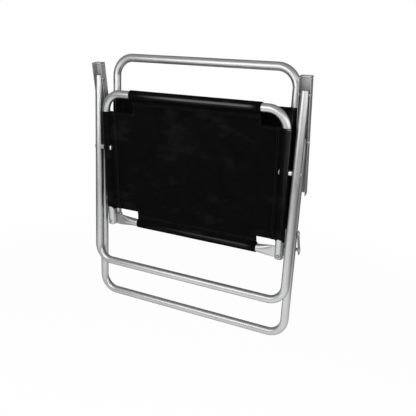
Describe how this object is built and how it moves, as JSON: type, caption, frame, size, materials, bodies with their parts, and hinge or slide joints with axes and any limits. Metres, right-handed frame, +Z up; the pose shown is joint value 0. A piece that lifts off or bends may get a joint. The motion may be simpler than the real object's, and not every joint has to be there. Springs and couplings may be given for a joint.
{
  "type": "folding armchair",
  "caption": "Folding tubular metal armchair with a black sling seat and back, folded flat, with channel armrests and hinged U-shaped legs.",
  "frame": {"origin": "middle of the back's top bar, on the tube's axis: the handle the folded chair hangs from", "axes": "folded flat and upright: +X across the chair to the sitter's left, +Y from the seat's underside towards the back's rear face, +Z up towards the top bar"},
  "size_m": [0.6294, 0.0951, 0.7287],
  "materials": {
    "tube": "satin drawn tube",
    "plate": "satin rolled sheet",
    "rivet": "bright zinc",
    "sling": "black woven polyester",
    "cap": "grey moulded"
  },
  "bodies": {
    "back": {"back_frame": "tube", "back_fabric": "sling", "back_cap_left": "cap", "back_cap_right": "cap"},
    "armrests": {"armrest_left": "plate", "armrest_right": "plate", "front_arm_rivet_left": "rivet", "front_arm_rivet_right": "rivet", "middle_arm_rivet_left": "rivet", "middle_arm_rivet_right": "rivet", "rear_arm_rivet_left": "rivet", "rear_arm_rivet_right": "rivet", "back_spacer_left": "rivet", "back_spacer_right": "rivet"},
    "seat": {"seat_frame": "tube", "seat_crossbar": "tube", "seat_fabric": "sling", "seat_cap_left": "cap", "seat_cap_right": "cap", "seat_pivot_rivet_left": "rivet", "seat_pivot_rivet_right": "rivet", "seat_pivot_spacer_left": "rivet", "seat_pivot_spacer_right": "rivet", "rear_pin_left": "rivet", "rear_pin_right": "rivet", "rear_pin_spacer_left": "rivet", "rear_pin_spacer_right": "rivet", "rear_pin_washer_left": "rivet", "rear_pin_washer_right": "rivet", "crossbar_rivet_left": "rivet", "crossbar_rivet_right": "rivet"},
    "front_leg": {"front_leg": "tube", "front_leg_stud_left": "rivet", "front_leg_stud_right": "rivet"},
    "rear_leg": {"rear_leg": "tube", "link_rivet_left": "rivet", "link_rivet_right": "rivet"},
    "links": {"link_left": "plate", "link_right": "plate", "link_pin_head_left": "rivet", "link_pin_head_right": "rivet"}
  },
  "joints": [
    {"name": "fold", "type": "hinge", "parent": "back", "child": "armrests", "pos_m": [0, 0.00578, -0.30264], "axis": [1, 0, 0], "range_deg": [0, 94.12]},
    {"name": "seat_hinge", "type": "hinge", "parent": "back", "child": "seat", "pos_m": [0, 0.00884, -0.46302], "axis": [1, 0, 0], "range_deg": [0, 101.09]},
    {"name": "front_leg_hinge", "type": "hinge", "parent": "armrests", "child": "front_leg", "pos_m": [0, -0.04051, -0.06103], "axis": [1, 0, 0], "range_deg": [-81.11, 0]},
    {"name": "rear_leg_hinge", "type": "hinge", "parent": "armrests", "child": "rear_leg", "pos_m": [0, -0.01776, -0.17478], "axis": [1, 0, 0], "range_deg": [-54.59, 0]},
    {"name": "link_hinge", "type": "hinge", "parent": "rear_leg", "child": "links", "pos_m": [0, -0.01566, -0.41077], "axis": [1, 0, 0], "range_deg": [0, 138.76]}
  ],
  "couplings": [
    {"joint": "seat_hinge", "follows": "fold", "ratio": 1.0741},
    {"joint": "front_leg_hinge", "follows": "fold", "ratio": -0.86172},
    {"joint": "rear_leg_hinge", "follows": "fold", "ratio": -0.57999},
    {"joint": "link_hinge", "follows": "fold", "ratio": 1.4743}
  ]
}
